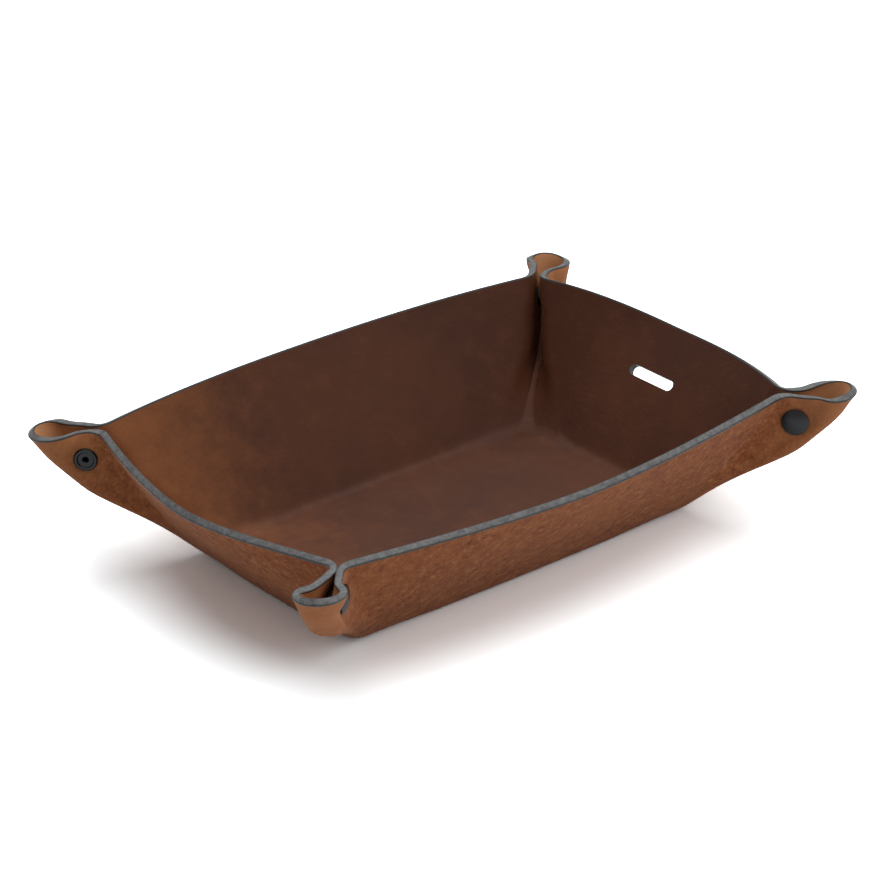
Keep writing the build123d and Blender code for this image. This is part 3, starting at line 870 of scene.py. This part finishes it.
def edge_paint(colours):
    """Acrylic edge paint, sanded and burnished: dark, half matt, slightly uneven, with a painted highlight along its
    top.
    """
    made, tree = empty_tree(bpy.data.materials.new("burnished_edge_paint"))
    place = add(tree, "TexCoord")["Object"]
    middle = add(tree, "Attribute", attribute_name="edge_middle")["Fac"]
    wave, fleck = [add(tree, "TexNoise", spots(place, *noise))["Fac"] for noise in (EDGE_WAVE, EDGE_FLECK)]
    # The middle of the rounded edge, which faces up, is painted lighter: a painted highlight, with random flecks.
    highlight_share = add(tree, "Math", {0: fleck, 1: 0.8, 2: middle}, operation="MULTIPLY_ADD")[0]
    colour = lay_over(tree, linear(colours.edge), [(highlight_share, 1.1, 1.65, 1, colours.edge_painted_highlight)])
    normal = add(tree, "Bump", {"Height": wave, "Distance": WAVE_DEPTH})["Normal"]
    skin = {"Base Color": colour, "Roughness": 0.45, "IOR": 1.49, "Specular IOR Level": 0.35, "Normal": normal}
    cover(tree, "BsdfPrincipled", skin)
    return made


def black_oxide(colours):
    """Brass with a black oxide finish: satin black, with soft dim highlights."""
    made, tree = empty_tree(bpy.data.materials.new("black_oxide_brass"))
    skin = {"Base Color": linear(colours.metal), "Metallic": 1.0, "Roughness": 0.34}
    cover(tree, "BsdfPrincipled", skin)
    return made


def studio_floor(colours):
    """Matt paper: plain diffuse, and a whiter tone where it is seen, so that only shadows show."""
    made, tree = empty_tree(bpy.data.materials.new("matt_studio_paper"))
    tint = [part * colours.floor_seen for part in linear(colours.floor_tint)[:3]]
    both = {MIX_SHARE: seen_directly(tree), MIX_FIRST: linear(colours.floor), MIX_SECOND: (*tint, 1)}
    colour = add(tree, "Mix", both, data_type="RGBA")[MIX_RESULT]
    cover(tree, "BsdfDiffuse", {"Color": colour})
    return made


class TRAY_OT_sheet(bpy.types.Operator):
    """Makes the leather sheet with its painted edge, slot and four ears"""

    bl_idname = "tray.sheet"
    bl_label = "Leather sheet"

    def execute(self, context):
        sheet, studs, colours = context.scene.tray_sheet, context.scene.tray_studs, context.scene.tray_colours
        poles = ((0, 0, 0), (0, 0, sheet.leather_thickness))
        whole = grid_mesh("leather", *sheet_surface(sheet, studs), poles)
        cutter, slot_centre = cutters(sheet, studs)
        finishes = (grain_leather(colours), flesh_leather(colours), edge_paint(colours))
        for mesh in (whole, cutter):
            set_finishes(mesh, finishes)
        whole = cut(whole, cutter)

        form = bmesh.new()
        form.from_mesh(whole)
        sharpen_slot(form, Vector(slot_centre), sheet.slot_length)
        for name, sign_x, sign_y in CORNERS:
            layer = form.faces.layers.int.new(LAYER_NAME)
            levels = ear_levels(sheet, studs, name, sign_x, sign_y)
            split_ear(form, levels, sign_x, sign_y, layer)
            for part, (way, (_, _, still, moved)) in enumerate(zip(EAR_PARTS, levels), start=1):
                mesh = part_of(form, layer, part, f"{name}_ear_{way}")
                if not mesh.polygons:
                    continue
                piece = new_object(mesh.name, mesh)
                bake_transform(piece)
                set_finishes(mesh, finishes)
            layer = form.faces.layers.int[LAYER_NAME]
            gone = [face for face in form.faces if face[layer] > 0]
            bmesh.ops.delete(form, geom=gone, context="FACES")
            form.faces.layers.int.remove(form.faces.layers.int[LAYER_NAME])
        rest = bpy.data.meshes.new("leather_sheet")
        form.to_mesh(rest)
        form.free()
        set_finishes(rest, finishes)
        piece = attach(new_object("leather_sheet", rest), "tray")
        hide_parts("leather_tray")
        return {"FINISHED"}


class TRAY_OT_studs(bpy.types.Operator):
    """Gives the press studs their black oxide finish"""

    bl_idname = "tray.studs"
    bl_label = "Press studs"

    def execute(self, context):
        finish = black_oxide(context.scene.tray_colours)
        for name, _, _ in CORNERS:
            for piece in STUD_PIECES:
                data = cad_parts[f"{name}_snap_{piece}"].data
                data.materials.clear()
                data.materials.append(finish)
        return {"FINISHED"}


def direction(turn, rise):
    """From the tray towards what stands at this turn, 0 in front, and this rise."""
    return Vector((math.sin(turn) * math.cos(rise), -math.cos(turn) * math.cos(rise), math.sin(rise)))


class TRAY_OT_stage(bpy.types.Operator):
    """Sets up the floor, the soft light and the camera"""

    bl_idname = "tray.stage"
    bl_label = "Studio"

    def execute(self, context):
        scene, stage, colours = context.scene, context.scene.tray_stage, context.scene.tray_colours
        reach = stage.floor_reach
        corners = [(-reach, -reach, 0), (reach, -reach, 0), (reach, reach, 0), (-reach, reach, 0)]
        mesh = bpy.data.meshes.new("studio_floor")
        mesh.from_pydata(corners, [], [(0, 1, 2, 3)])
        mesh.materials.append(studio_floor(colours))
        floor = new_object("studio_floor", mesh)
        floor.location.z = -stage.floor_gap

        # The room is white where it is seen, and lights the tray with less.
        scene.world, tree = empty_tree(bpy.data.worlds.new("soft_white_room"))
        strengths = {0: seen_directly(tree), 1: stage.room_light}
        strength = add(tree, "Math", strengths, operation="MAXIMUM")[0]
        glow = {"Color": linear(colours.room), "Strength": strength}
        shader = add(tree, "Background", glow)["Background"]
        add(tree, "OutputWorld", {"Surface": shader})

        for name in ("key", "fill"):
            turn, rise, size, power = [getattr(stage, f"{name}_{what}") for what in ("turn", "rise", "size", "power")]
            light = bpy.data.lights.new(name + "_softbox", "AREA")
            light.shape, light.size, light.energy = "DISK", size, power
            lamp = new_object(name + "_softbox", light)
            towards = direction(turn, rise)
            lamp.location = towards * stage.lamp_distance
            lamp.rotation_euler = towards.to_track_quat("Z", "Y").to_euler()

        camera = bpy.data.cameras.new("camera")
        camera.sensor_width, camera.lens = stage.sensor, stage.focal_length
        # Far enough to see all of the floor
        camera.clip_end = 2 * (stage.floor_reach + stage.camera_distance)
        seat = new_object("camera", camera)
        turn, rise, roll = stage.camera_turn, stage.camera_rise, stage.camera_roll
        backwards = direction(turn, rise)
        right = Vector((math.cos(turn), math.sin(turn), 0))
        up = backwards.cross(right)
        right, up = right * math.cos(roll) + up * math.sin(roll), up * math.cos(roll) - right * math.sin(roll)
        place = backwards * stage.camera_distance - right * stage.camera_left + up * stage.camera_up
        seat.matrix_world = Matrix.Translation(place) @ Matrix((right, up, backwards)).transposed().to_4x4()
        scene.camera = seat
        scene.view_settings.view_transform = "Standard"
        return {"FINISHED"}


class TRAY_PT_panel(bpy.types.Panel):
    """Lists the steps that make the tray"""

    bl_idname = "TRAY_PT_panel"
    bl_label = "Valet tray"
    bl_space_type = "VIEW_3D"
    bl_region_type = "UI"
    bl_category = "Tray"

    def draw(self, context):
        for step in STEPS:
            self.layout.operator(step.bl_idname)


STEPS = (TRAY_OT_sheet, TRAY_OT_studs, TRAY_OT_stage)
GROUPS = {
    "tray_sheet": TraySheetSizes,
    "tray_studs": TrayStudSizes,
    "tray_colours": TrayColours,
    "tray_stage": TrayStage,
}


def register():
    for group in GROUPS.values():
        bpy.utils.register_class(group)
    for step in STEPS + (TRAY_PT_panel,):
        bpy.utils.register_class(step)
    for name, group in GROUPS.items():
        setattr(bpy.types.Scene, name, PointerProperty(type=group))


def unregister():
    for name in GROUPS:
        delattr(bpy.types.Scene, name)
    for made in (TRAY_PT_panel,) + STEPS + tuple(GROUPS.values()):
        bpy.utils.unregister_class(made)


def main():
    register()
    bpy.ops.tray.sheet()
    bpy.ops.tray.studs()
    bpy.ops.tray.stage()


if __name__ == "__main__":
    main()
